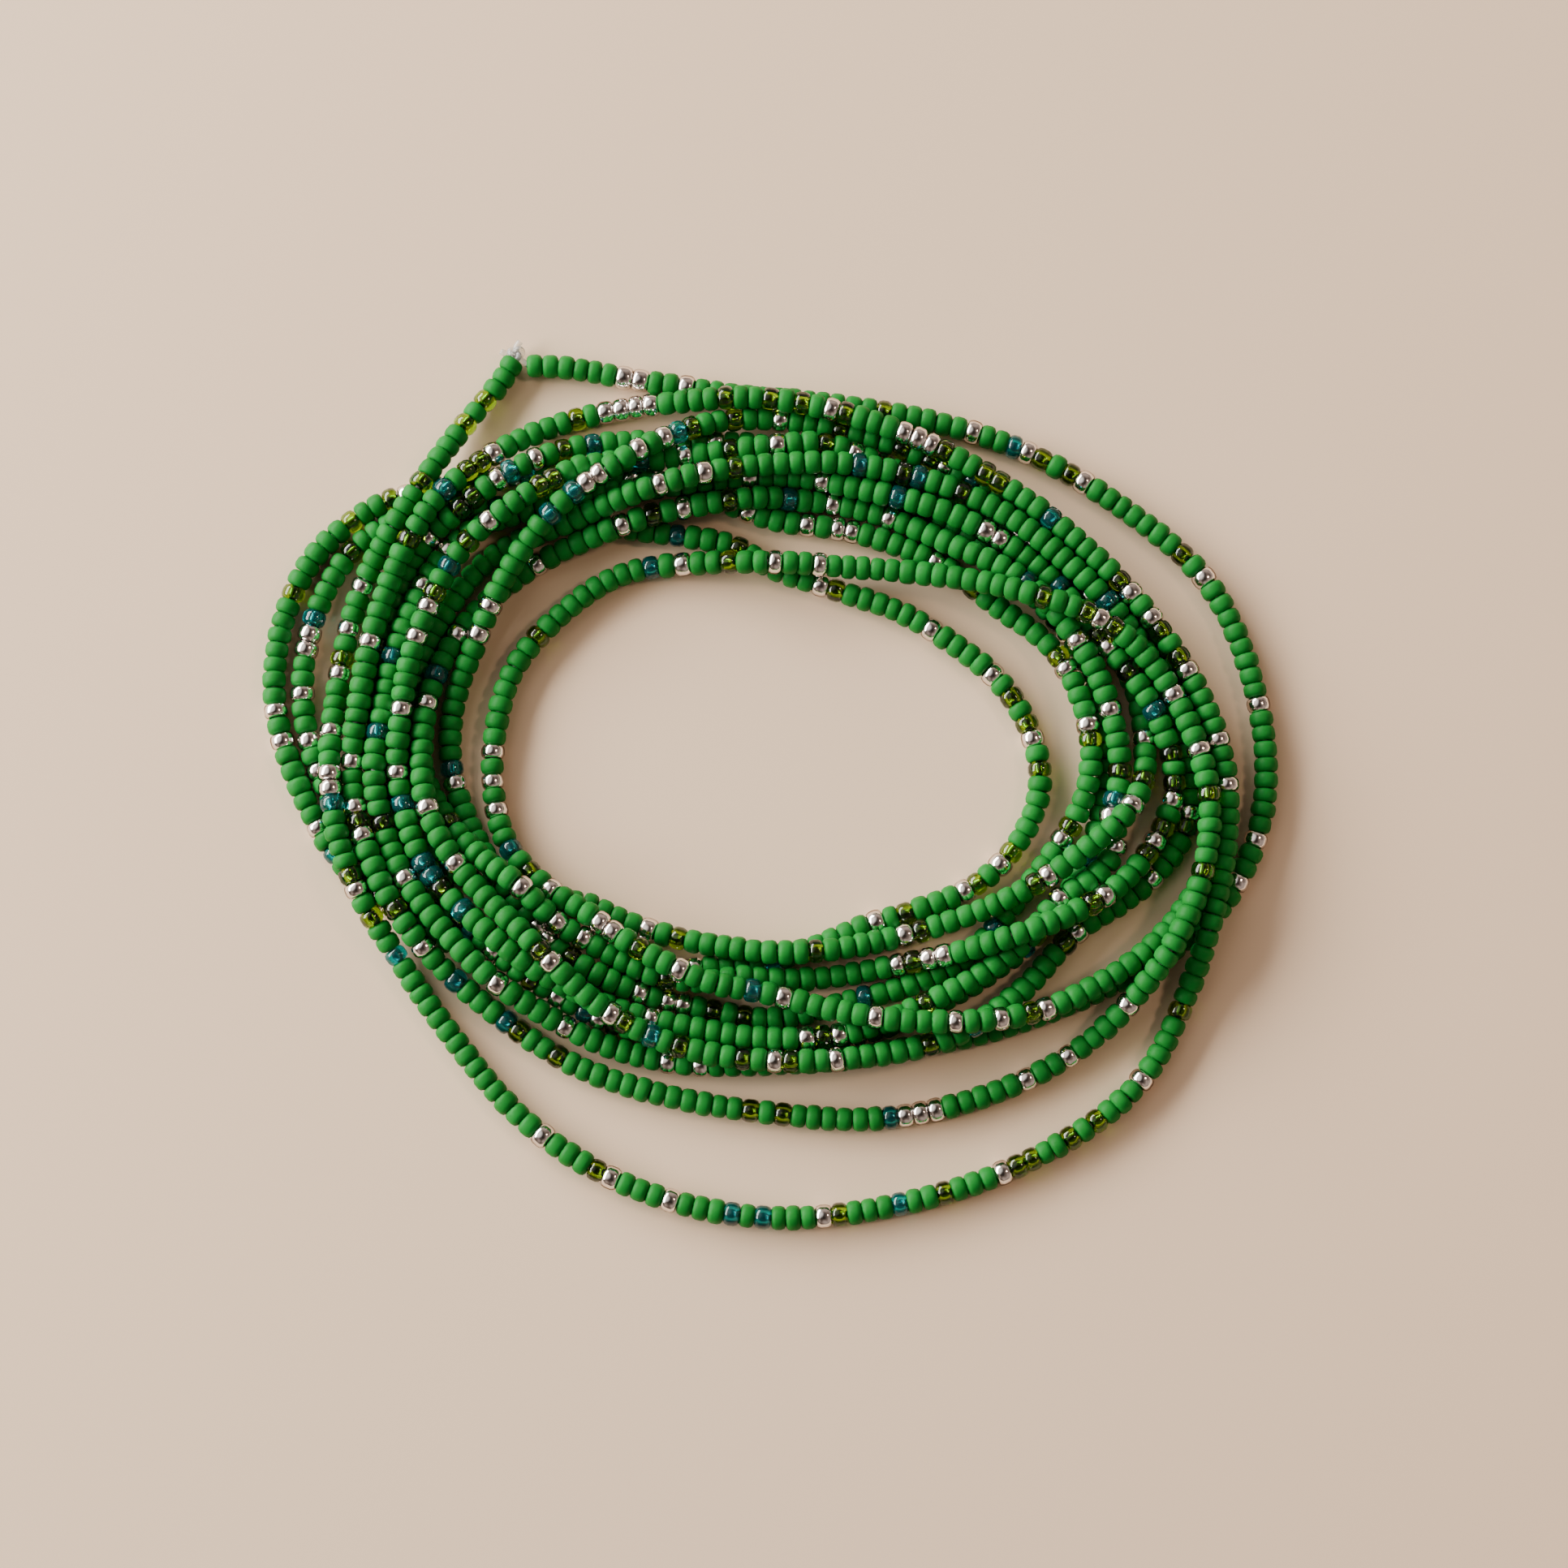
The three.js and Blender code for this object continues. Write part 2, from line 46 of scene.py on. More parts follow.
# The string's path, in mm. The beads and the elastic all follow it.
string = {
    "beadPitch": 1.5,  # from bead to bead along the elastic
    "beadDiameter": 2.3,
    "beadShoulder": 0.25,  # how far the CAD tube lies inside the beads
    "beadClearance": 0.05,  # between beads of different turns
    "flattening": 0.83,  # depth of a round turn as a share of its width
    "rounds": 400,
    "pull": 0.3,  # share of the way to its place that a bead is drawn in the first round
    "fall": 0.04,  # how far a bead drops in the first round
    "viewpoint": [1.2, -49.6, 356.5],  # the route's places are as seen from here
    "stiffness": [0.5, 0.5, 0.15],  # how far a bead follows its two neighbours along x, y and z
    "reach": 1.53,  # beads less than this many diameters apart in plan are watched
    "watchRounds": 20,  # rounds from one list of watched beads to the next
    "nearestAlong": 4,  # beads fewer places apart than this on the string aren't watched
    "routeStep": 0.5,  # degrees
    # a row: clock angle in degrees (0 right, 90 top), distance from the middle, layer in the pile
    "turns": [
        # the outermost turn, from the knot
        [[116.6, 56.6, 0], [118, 55.6, 0], [120, 54.6, 0], [127, 51.9, 1], [135, 49.4, 3], [150, 46.3, 2],
         [165, 43.6, 2], [180, 42.2, 3], [195, 41.5, 2], [210, 41.0, 0], [225, 42.4, 0], [240, 45.6, 0],
         [255, 48.3, 0], [270, 49.8, 0], [285, 49.8, 0], [300, 49.8, 0], [315, 49.3, 0], [330, 46.4, 1],
         [345, 44.6, 1]],
        # second turn
        [[0, 43.9, 2], [15, 42.9, 2], [30, 41.8, 2], [45, 41.8, 2], [60, 42.8, 2], [75, 44.7, 2],
         [90, 46.5, 3], [105, 47.4, 3], [120, 48.3, 2], [135, 47.2, 2], [150, 43.9, 2], [165, 41.3, 2],
         [180, 40.5, 2], [195, 39.1, 2], [210, 38.1, 1], [225, 37.3, 1], [240, 37.4, 0], [255, 37.2, 0],
         [270, 37.8, 0], [285, 39.8, 0], [300, 41.3, 0], [315, 42.4, 2], [330, 42.4, 4], [345, 42.9, 4]],
        # the turn that dives to the inner edge of the coil at the top
        [[0, 42.6, 4], [15, 40.9, 4], [30, 38.4, 4], [45, 33.6, 4], [60, 29.5, 3], [75, 27.2, 3],
         [90, 26.9, 3], [105, 27.7, 2], [120, 29.3, 1], [135, 29.1, 1], [150, 28.8, 1], [165, 27.7, 1],
         [180, 27.0, 1], [195, 26.5, 1], [210, 25.0, 2], [225, 23.5, 2], [240, 23.1, 2], [255, 23.5, 3],
         [270, 24.1, 3], [285, 27.1, 3], [300, 31.6, 4], [315, 36.8, 4], [325, 39.6, 3], [332, 41.6, 1],
         [345, 43.1, 1]],
        # fourth turn, low on the right and crossing inwards at the top left
        [[0, 43.2, 1], [15, 42.0, 1], [30, 41.5, 1], [45, 41.2, 1], [60, 41.4, 1], [75, 42.1, 1],
         [90, 44.3, 2], [97, 44.2, 2], [105, 43.0, 3], [115.5, 40.9, 4], [120, 40.1, 4], [135, 36.5, 4],
         [150, 33.8, 3], [165, 32.3, 1], [180, 30.8, 1], [195, 29.1, 1], [210, 27.6, 1], [225, 27.3, 1],
         [240, 26.9, 1], [255, 26.6, 1], [270, 27.0, 1], [285, 26.0, 1], [300, 26.5, 0], [315, 27.2, 0],
         [330, 26.9, 0], [345, 28.4, 0]],
        # fifth turn, which runs out to the left edge under the others
        [[0, 30.9, 1], [15, 32.0, 1], [30, 32.3, 1], [45, 30.9, 1], [60, 31.5, 1], [75, 31.7, 1],
         [90, 32.4, 1], [105, 37.6, 0], [120, 43.5, 0], [135, 49.0, 0], [141, 50.8, 0], [150, 52.2, 0],
         [165, 50.1, 0], [180, 45.6, 0], [195, 41.1, 0], [210, 35.4, 0], [225, 30.6, 0], [240, 25.6, 0],
         [255, 21.9, 0], [270, 20.3, 0], [285, 19.1, 0], [300, 18.7, 0], [315, 20.2, 0], [330, 22.8, 0],
         [345, 24.7, 0]],
        # sixth turn, innermost on the right, then out to the left beside the fifth and back under the pile
        [[0, 26.0, 0], [15, 26.0, 0], [30, 25.5, 0], [45, 24.6, 0], [60, 24.4, 0], [75, 24.4, 0],
         [90, 26.2, 0], [97, 29.0, 0], [105, 30.9, 0], [112, 32.9, 0], [120, 36.4, 0], [135, 46.5, 0],
         [141.5, 49.9, 0], [150, 49.8, 0], [165, 47.2, 0], [175.5, 44.4, 0], [180, 43.0, 0],
         [195, 39.0, 0], [210, 33.9, 1], [225, 31.9, 1], [240, 31.5, 0], [255, 30.6, 0], [270, 30.4, 0],
         [285, 30.6, 0], [300, 29.8, 0], [315, 30.2, 0], [330, 30.9, 0], [345, 31.9, 0]],
        # seventh turn, hidden on the right and innermost at the bottom
        [[0, 32.4, 0], [15, 33.1, 0], [30, 33.9, 0], [45, 34.6, 0], [60, 36.1, 0], [75, 38.2, 0],
         [90, 40.9, 0], [105, 42.9, 1], [116, 45.0, 2], [124, 45.7, 2], [138.5, 44.8, 1], [150, 42.1, 1],
         [165, 40.3, 0], [180, 37.8, 0], [192, 33.9, 0], [202, 29.9, 0], [210, 26.0, 0], [216, 22.6, 0],
         [225, 21.3, 0], [240, 20.0, 0], [255, 19.3, 0], [270, 19.3, 0], [285, 19.6, 2], [300, 20.6, 2],
         [315, 22.7, 2], [330, 26.2, 3], [345, 30.5, 4]],
        # eighth turn, hidden on the right and on top at the left
        [[0, 35.6, 3], [9, 36.7, 2], [15, 37.2, 1], [30, 37.6, 0], [45, 38.3, 0], [60, 38.6, 0],
         [75, 39.9, 0], [83, 41.1, 1], [90, 40.6, 1], [105, 40.5, 2], [117, 42.6, 2], [120, 42.4, 2],
         [135, 41.8, 3], [150, 39.6, 3], [165, 37.6, 3], [180, 36.4, 3], [195, 35.1, 2], [210, 32.4, 2],
         [225, 30.7, 2], [240, 29.5, 1], [255, 29.1, 1], [270, 29.3, 1], [285, 29.5, 1], [300, 29.2, 1],
         [315, 29.8, 1], [325, 30.3, 1], [335, 30.9, 1], [340, 32.7, 1], [348, 34.0, 1], [355, 32.9, 1]],
        # ninth turn, in the middle of the band
        [[0, 33.7, 2], [15, 34.3, 2], [30, 35.2, 2], [45, 35.4, 2], [60, 34.1, 2], [75, 34.6, 2],
         [90, 35.0, 2], [105, 34.9, 2], [120, 34.9, 2], [135, 35.3, 2], [150, 35.7, 2], [165, 35.2, 2],
         [180, 33.9, 2], [195, 31.7, 3], [210, 30.2, 3], [225, 29.9, 3], [240, 30.5, 3], [255, 31.3, 3],
         [270, 31.7, 3], [285, 32.5, 3], [300, 33.9, 2], [315, 33.9, 1], [330, 33.9, 1], [344, 38.3, 1],
         [351.5, 40.1, 1]],
        # tenth turn, which slips inwards at the left and out again at the lower right
        [[0, 40.7, 1], [15, 40.3, 1], [30, 39.8, 2], [45, 39.4, 2], [60, 39.8, 2], [75, 39.6, 2],
         [90, 38.8, 2], [105, 38.1, 2], [120, 37.8, 2], [135, 38.7, 2], [150, 37.4, 2], [165, 36.1, 1],
         [180, 33.2, 1], [195, 29.7, 2], [205, 27.1, 2], [218, 25.9, 1], [225, 25.3, 1], [240, 25.0, 1],
         [255, 23.2, 1], [262, 22.0, 1], [270, 22.2, 1], [285, 22.8, 1], [300, 24.0, 2], [315, 26.9, 3],
         [330, 31.2, 4], [345, 36.3, 3]],
        # last turn, which comes out to the knot
        [[0, 39.1, 3], [15, 38.1, 3], [30, 36.6, 2], [45, 37.1, 2], [60, 37.2, 2], [75, 36.8, 2],
         [90, 36.7, 1], [105, 37.2, 1], [120, 39.4, 1], [135, 43.0, 2], [150, 41.3, 2], [165, 39.0, 1],
         [180, 38.5, 1], [195, 37.2, 2], [210, 35.1, 2], [225, 33.9, 1], [240, 33.6, 1], [255, 32.7, 1],
         [270, 31.2, 1], [285, 31.7, 1], [300, 33.6, 1], [315, 37.0, 1], [330, 41.3, 0], [342, 45.4, 0],
         [352.5, 47.2, 0]],
        [[0, 47.9, 0], [15, 48.5, 0], [30, 49.1, 0], [45, 47.9, 0], [60, 47.2, 0], [75, 46.3, 0],
         [82, 46.1, 0], [90, 46.4, 0], [97, 47.6, 0], [105, 50.4, 0], [112, 54.3, 0], [115.4, 56.0, 0]],
    ],
}


# Between two rows, the distance and the layer are cubics of the clock angle, whose slope at a row is that
# from the row before to the row after. Gives the clock angle counted through all turns, and x, y, z.
def routePoints(s):
    rows = np.array([[row[0] + 360 * k, row[1], row[2]] for k, turn in enumerate(s["turns"]) for row in turn])
    before = np.vstack([rows[:1], rows[:-1]])
    after = np.vstack([rows[1:], rows[-1:]])
    slopes = (after - before)[:, 1:] / (after - before)[:, :1]
    spans = np.diff(rows[:, 0])
    counts = np.ceil(spans / s["routeStep"]).astype(int)
    row = np.repeat(np.arange(len(spans)), counts)
    t = (np.arange(len(row)) - np.repeat(np.cumsum(counts) - counts, counts)) / counts[row]
    t, span = t[:, None], spans[row][:, None]
    value = ((2 * t**3 - 3 * t**2 + 1) * rows[row, 1:] + (t**3 - 2 * t**2 + t) * span * slopes[row]
             + (3 * t**2 - 2 * t**3) * rows[row + 1, 1:] + (t**3 - t**2) * span * slopes[row + 1])
    clock = rows[row, 0] + t[:, 0] * spans[row]
    angle = np.radians(clock)
    x = value[:, 0] * np.cos(angle)
    y = s["flattening"] * value[:, 0] * np.sin(angle)
    z = s["beadDiameter"] * (0.5 + np.maximum(value[:, 1], 0))
    return clock, np.column_stack([x, y, z])


# One point for each bead, evenly spaced along the route in plan, with its clock angle.
def placeBeads(s):
    clock, points = routePoints(s)
    along = np.concatenate([[0], np.cumsum(np.hypot(*np.diff(points[:, :2], axis=0).T))])
    count = round(along[-1] / s["beadPitch"])
    here = along[-1] * np.arange(count + 1) / count
    beads = np.column_stack([np.interp(here, along, points[:, k]) for k in range(3)])
    return np.interp(here, along, clock), beads


# Moves the two beads of each pair towards each other by half of what the pair is too long, all at once.
def spread(beads, first, second, excess):
    gap = beads[second] - beads[first]
    length = np.linalg.norm(gap, axis=1)
    share = 0.5 * excess(length) / length
    live = share != 0
    move = np.zeros((len(beads), 4))
    step = np.column_stack([share[live, None] * gap[live], np.ones(live.sum())])
    for column in range(4):
        sign = 1 if column == 3 else -1
        move[:, column] += np.bincount(first[live], step[:, column], len(beads))
        move[:, column] += sign * np.bincount(second[live], step[:, column], len(beads))
    beads += move[:, :3] / np.maximum(1, move[:, 3:] / 2)


# Lets the string fall and settle: in each round every bead drops a little, is drawn towards its place in
# plan and its neighbours' height, is pushed off what it touches, and keeps its distance along the elastic.
def settle(s, beads):
    plan = beads * [1, 1, 0]
    viewpoint = np.array(s["viewpoint"])
    number = np.arange(len(beads))
    touch = s["beadDiameter"] + s["beadClearance"]
    floorHeight = s["beadDiameter"] / 2 - s["beadShoulder"]
    for turn in range(s["rounds"]):
        if turn % s["watchRounds"] == 0:
            distance = np.hypot(*(beads[:, None, :2] - beads[None, :, :2]).transpose(2, 0, 1))
            near = distance < s["reach"] * s["beadDiameter"]
            first, second = np.nonzero(near & (number - number[:, None] >= s["nearestAlong"]))
        ease = 1 - turn / s["rounds"]
        # a bead's home is where its line of sight meets its own height
        home = plan + (viewpoint - plan) * beads[:, 2:] / viewpoint[2]
        shift = beads - home * [1, 1, 0]
        level = (shift[np.maximum(number - 1, 0)] + shift[np.minimum(number + 1, number[-1])]) / 2
        beads = beads + np.array(s["stiffness"]) * (level - shift)
        beads -= ease * s["pull"] * shift * [1, 1, 0] + [0, 0, ease * s["fall"]]
        spread(beads, number[:-1], number[1:], lambda length: length - s["beadPitch"])
        spread(beads, first, second, lambda length: np.minimum(length - touch, 0))
        beads[:, 2] = np.maximum(beads[:, 2], floorHeight)
    return beads


clock, beadCentres = placeBeads(string)
beadCentres = settle(string, beadCentres)
low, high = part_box("bead_string")
middle = (beadCentres.min(axis=0) + beadCentres.max(axis=0)) / 2
beadCentres[:, 0] += (low[0] + high[0]) / 2 / mm - middle[0]
beadCentres[:, 1] += (low[1] + high[1]) / 2 / mm - middle[1]
beadCentres[:, 2] += string["beadShoulder"]  # the real beads stand on the surface with their full width
print("string settled:", len(beadCentres), "beads")

# Which bead is which. A letter and a clock angle, for each bead on a turn that isn't green:
# s silver, o olive, t teal. Stretches that lie out of sight are filled in at random.
beadOrder = {
    "seed": 11,
    "hiddenShares": {"s": 0.11, "o": 0.1, "t": 0.04},
    "turns": [
        "s148.4 s154.7 o159 s161.7 s171.5 s176.5 s178.8 t181.8 o194.6 s197 o202 t207.5 s241 o249 s251 s258.6"
        " t266.2 t269.8 s275 o276.8 t284.2 o289.7 s297 o298.7 o300.7 o304.3 o308 s315.7 o326 o120.8 o124"
        " o132.5",
        "s1.3 s8.3 s18 o20 o27 s29.5 s34.2 o36.5 t50 o58.8 o60.8 o66.7 s68.8 s70.7 s72.7 o80.7 s82.3 o86"
        " o89.8 o95 s104.3 s106.2 s108 s110 o113.7 s125 o126.7 o128.7 t132.5 o141 s157 s174.7 s182.8 o185.5"
        " s188.3 o202 s210 t215.5 t226.5 o229 o236.7 o268 o272.5 t286 s288 s290.5 s292.7 s306 s312.8 s324.3"
        " o346.8 o359",
        "s7 s14.9 o29.5 s31.7 o33.8 o40.7 s79 s88.3 o98 s107 t114.8 o142.7 s170.5 s177.5 s185 t195.3 o202"
        " s209 s224 s227.5 o236.5 s248.5 t265.3 s272.2 s290.2 s302.2 s308.8 o312.7 s316.7",
        "s65.7 o68 o71.5 o81.5 s88.2 o93.7 o99.5 t101.3 s103.5 s107.3 s113.7 s115.5 t117.8 t122.5 s140.8"
        " s146.5 t174.2 s177.2 s216.5 s219.8 o225 s241.2 s247.8 s251.3 o258.5 o264.7 t290 t322.5 s348"
        " o351.8",
        "o11.5 s15 s27.5 o30.5 o48.8 s60.5 s74.5 s76.8 s84.5 s94.5 o142.8 o154 s170 s172.5 s186 t190.8"
        " s304.5 o310 s325.7 o329.5 s336.5 o340.5",
        "o5.3 s13.3 o17 o25 s32.5 s51.3 o76 s79.5 o97.3 t107.5 o145 t155.8 s158 s160.1 s166.6 s173 s177.7",
        "t112.3 o116.2 s120.3 t124.2 s126.3 o130.2 o132.7 s138.5 s234 o243 o284 s308.5 o312.5 o336.3"
        " s338.5 s356.7",
        "o2 s9.2 o83.3 s89.7 o96.2 s102.3 t109 o121 o122.7 s131.3 o136 t140.7 o145.6 s148.3 s153.7 s164.6"
        " s175.8 t182 t194.2 t197.2 o200 t206 s247.5 s275 o278 s281.5 o299 s335 s348.3 s355.3 t358.3",
        "o4.7 s16.3 s31 t44 s70 s80 t87.3 o97.3 s105 o109.7 s114.7 s129.7 s148 t158.5 s164.5 s184.8 s196.5"
        " o222 s225.3 s238.3 o241.5 t248 o254 o266 s271.5 o274 s282 o296 t303.5 o327 s330 s344 o354 s356.5",
        "t35 o63 t67.7 o69.8 t76.8 o94.7 s99.3 s106 s205 s218.3 s224 o246.5 s299 o303 s306.5 s309.7 o336"
        " s338.2 o348.3 s350.7 o353.5 s358.5",
        "o1.3 o6.7 t12.5 o20.3 s25.8 o27.8 t41.5 s52 s54.3 t70 s81.5 s93 s137.5 s144.5 t157 t169.5 o186.7"
        " s197.2 s221.7 s235.5 s251.7 s257 s346.3 s352.5",
        "s12 s30.5 o34 s50.8 o52.5 o56.5 s58.3 t60.2 s65.3 o75.7 s100.2 s104.7 s106.2",
    ],
    # (turn, from, to) of the stretches that no view from above shows
    "hidden": [(3, 0, 62), (4, 100, 139), (4, 192, 296), (5, 118, 139), (5, 180, 360), (6, 0, 109),
               (6, 151, 214), (7, 12, 82), (9, 160, 202)],
}


# Gives each bead a kind: the charted ones at the nearest free bead to their clock angle, the hidden
# stretches by chance, and green for all others.
def chooseKinds(order, clock):
    random = np.random.default_rng(order["seed"])
    kinds = np.full(len(clock), "g")
    for turn, chart in enumerate(order["turns"]):
        for word in chart.split():
            at = np.abs(clock - float(word[1:]) - 360 * turn)
            at[kinds != "g"] = np.inf
            kinds[at.argmin()] = word[0]
    letters = list(order["hiddenShares"])
    shares = list(order["hiddenShares"].values())
    for turn, start, end in order["hidden"]:
        inside = (clock > start + 360 * turn) & (clock < end + 360 * turn) & (kinds == "g")
        kinds[inside] = random.choice(letters + ["g"], inside.sum(), p=shares + [1 - sum(shares)])
    return kinds


# Puts points and faces into a new mesh object. Each group of faces is an array with a row for each face.
def linkMesh(name, verts, faceGroups, material, tones=None):
    groups = [np.asarray(group, dtype=np.int32) for group in faceGroups]
    sizes = np.concatenate([np.full(len(group), group.shape[1], dtype=np.int32) for group in groups])
    mesh = bpy.data.meshes.new(name)
    mesh.vertices.add(len(verts))
    mesh.vertices.foreach_set("co", (np.asarray(verts) * mm).astype(np.float32).ravel())
    mesh.loops.add(int(sizes.sum()))
    mesh.loops.foreach_set("vertex_index", np.concatenate([group.ravel() for group in groups]))
    mesh.polygons.add(len(sizes))
    mesh.polygons.foreach_set("loop_start", (np.cumsum(sizes) - sizes).astype(np.int32))
    if tones is not None:
        mesh.attributes.new("tone", "FLOAT", "POINT").data.foreach_set("value", tones.astype(np.float32))
    mesh.update(calc_edges=True)
    mesh.validate()
    mesh.shade_smooth()
    mesh.materials.append(material)
    piece = bpy.data.objects.new(name, mesh)
    bpy.context.collection.objects.link(piece)
    return piece


# Directions along a line of points: the way ahead, the level way to the side, and the way up from both.
def directions(points, closed=False):
    if closed:
        ahead = np.roll(points, -1, axis=0) - np.roll(points, 1, axis=0)
    else:
        ahead = np.gradient(points, axis=0)
    ahead /= np.linalg.norm(ahead, axis=1, keepdims=True)
    side = np.cross([0, 0, 1], ahead)
    side /= np.linalg.norm(side, axis=1, keepdims=True)
    return ahead, side, np.cross(ahead, side)


# Four-cornered faces from ring to ring, and from the last ring to the first where the row is closed.
def ringQuads(rings, sides, closed):
    row, column = np.meshgrid(np.arange(rings if closed else rings - 1), np.arange(sides), indexing="ij")
    nextRow, nextColumn = (row + 1) % rings, (column + 1) % sides
    return np.stack([row * sides + column, row * sides + nextColumn,
                     nextRow * sides + nextColumn, nextRow * sides + column], axis=-1).reshape(-1, 4)


# Bodies of revolution: a closed profile of (distance along, distance out) pairs is turned round each
# centre's own axis, so a point is centre + along * ahead + out * (cos turn * side + sin turn * up).
def turnedBodies(centres, ahead, side, up, profile, lengths, widths, sides, phase):
    turn = 2 * np.pi * np.arange(sides) / sides + phase[:, None]
    out = np.cos(turn)[..., None] * side[:, None] + np.sin(turn)[..., None] * up[:, None]
    along = profile[:, 0] * lengths[:, None]
    away = profile[:, 1] * widths[:, None]
    verts = (centres[:, None, None] + along[:, :, None, None] * ahead[:, None, None]
             + away[:, :, None, None] * out[:, None])
    quads = ringQuads(len(profile), sides, closed=True)
    start = np.arange(len(centres)) * len(profile) * sides
    return verts.reshape(-1, 3), (quads[None] + start[:, None, None]).reshape(-1, 4)


# A tube along a line: round each point a ring, point + radius * (cos turn * side + sin turn * up).
def tube(points, radius, sides, closed=False):
    _, side, up = directions(points, closed)
    turn = 2 * np.pi * np.arange(sides) / sides
    ring = np.cos(turn)[None, :, None] * side[:, None] + np.sin(turn)[None, :, None] * up[:, None]
    return (points[:, None] + radius * ring).reshape(-1, 3), ringQuads(len(points), sides, closed)


# The flat ends of an open tube: its first ring turned round, and its last ring.
def tubeEnds(points, sides):
    return np.array([np.arange(sides)[::-1], np.arange(sides) + (len(points) - 1) * sides])


# Materials. A new one with the given values on its shader, with its node tree and the shader.
def principled(name, settings):
    material = bpy.data.materials.new(name)
    material.use_nodes = True
    shader = material.node_tree.nodes["Principled BSDF"]
    for socket, value in settings.items():
        shader.inputs[socket].default_value = value
    return material, material.node_tree, shader


# A new node with the given values in its sockets.
def addNode(tree, kind, inputs):
    node = tree.nodes.new(kind)
    for socket, value in inputs.items():
        node.inputs[socket].default_value = value
    return node


# A ramp from one colour to another, between two places of what goes in.
def addRamp(tree, colours, places):
    ramp = tree.nodes.new("ShaderNodeValToRGB")
    for element, colour, place in zip(ramp.color_ramp.elements, colours, places):
        element.position = place
        element.color = (*colour, 1)
    return ramp


# Colour from bead to bead: the mesh's tone, 0 to 1, picks a place between a dark and a light colour.
def toneColour(tree, shader, look):
    tone = tree.nodes.new("ShaderNodeAttribute")
    tone.attribute_name = "tone"
    ramp = addRamp(tree, (look["dark"], look["light"]), (0, 1))
    tree.links.new(tone.outputs["Fac"], ramp.inputs["Fac"])
    tree.links.new(ramp.outputs["Color"], shader.inputs["Base Color"])


# Fine unevenness of the surface, from noise in the object's own space.
def addBump(tree, shader, look):
    place = tree.nodes.new("ShaderNodeTexCoord")
    noise = addNode(tree, "ShaderNodeTexNoise", {"Scale": look["bumpScale"], "Detail": look["bumpDetail"]})
    bump = addNode(tree, "ShaderNodeBump", {"Strength": look["bumpStrength"], "Distance": look["bumpDepth"]})
    tree.links.new(place.outputs["Object"], noise.inputs["Vector"])
    tree.links.new(noise.outputs["Fac"], bump.inputs["Height"])
    tree.links.new(bump.outputs["Normal"], shader.inputs["Normal"])


matteGreen = {
    "dark": (0.006, 0.155, 0.018),
    "light": (0.008, 0.195, 0.025),
    "roughness": 0.5,
    "specular": 0.12,
    "inside": 0.12,  # share of the light that comes back from inside the glass
    "insideSpread": (0.2, 1.0, 0.25),  # of red, green and blue, each times the depth
    "insideDepth": 0.0003,
    "bumpScale": 9000,
    "bumpDetail": 3.0,
    "bumpDepth": 0.00003,
    "bumpStrength": 0.3,
}
greenGlass, tree, shader = principled("matteGreenGlass", {
    "Roughness": matteGreen["roughness"],
    "Specular IOR Level": matteGreen["specular"],
    "Subsurface Weight": matteGreen["inside"],
    "Subsurface Radius": matteGreen["insideSpread"],
    "Subsurface Scale": matteGreen["insideDepth"]})
toneColour(tree, shader, matteGreen)
addBump(tree, shader, matteGreen)

linedGlass = {
    "olive": {"dark": (0.13, 0.27, 0.004), "light": (0.24, 0.44, 0.008), "clearness": 1.0},
    "teal": {"dark": (0.0, 0.27, 0.28), "light": (0.0, 0.40, 0.40), "clearness": 0.92},
    "roughness": 0.02,
    "ior": 1.5,
    "bumpScale": 900,
    "bumpDetail": 3.0,
    "bumpDepth": 0.00004,
    "bumpStrength": 0.25,
}


def glassMaterial(name, look):
    material, tree, shader = principled(name, {
        "Roughness": linedGlass["roughness"],
        "IOR": linedGlass["ior"],
        "Transmission Weight": look["clearness"]})
    toneColour(tree, shader, look)
    addBump(tree, shader, linedGlass)
    return material


oliveGlass = glassMaterial("oliveGlass", linedGlass["olive"])
tealGlass = glassMaterial("tealGlass", linedGlass["teal"])

silver = {
    "colour": (0.93, 0.89, 0.86),
    "liningEdge": (1.0, 1.0, 1.0),
    "beadEdge": (0.30, 0.21, 0.17),  # under clear glass, silver is darker where it turns away
    "roughness": 0.14,
    "bumpScale": 1400,
    "bumpDetail": 3.0,
    "bumpDepth": 0.00006,
    "bumpStrength": 0.15,
}


def silverMaterial(name, edge):
    material, tree, shader = principled(name, {
        "Base Color": (*silver["colour"], 1),
        "Specular Tint": (*edge, 1),
        "Metallic": 1.0,
        "Roughness": silver["roughness"]})
    addBump(tree, shader, silver)
    return material


silvering = silverMaterial("silvering", silver["liningEdge"])
silverBead = silverMaterial("silverBead", silver["beadEdge"])

# Beads
bead = {
    "sides": 10,
    "width": 2.34,
    "lengthVaries": 0.05,  # usual variation, as a share
    "widthVaries": 0.025,
    "lean": 0.05,  # radians that a bead usually leans on the elastic
    "mostVaried": 2,  # no bead is further off than this many times the usual
    "straight": 0.4,  # share of the length over which the outline is about as wide as it gets
    "seed": 5,
    # from the rim of one hole to the other: (share of half the length, share of half the width)
    "outline": [(-0.94, 0.40), (-1.0, 0.66), (-0.80, 0.885), (-0.38, 0.995),
                (0.38, 0.995), (0.80, 0.885), (1.0, 0.66), (0.94, 0.40)],
    # the silvered wall of the hole, seen through the olive and the teal glass
    "sleeve": [(-0.88, 0.33), (-0.88, 0.38), (0.88, 0.38), (0.88, 0.33)],
}

random = np.random.default_rng(bead["seed"])
number = len(beadCentres)


# Chance values spread round zero, as many as the shape asks for.
def varied(shape):
    return random.standard_normal(shape).clip(-bead["mostVaried"], bead["mostVaried"])


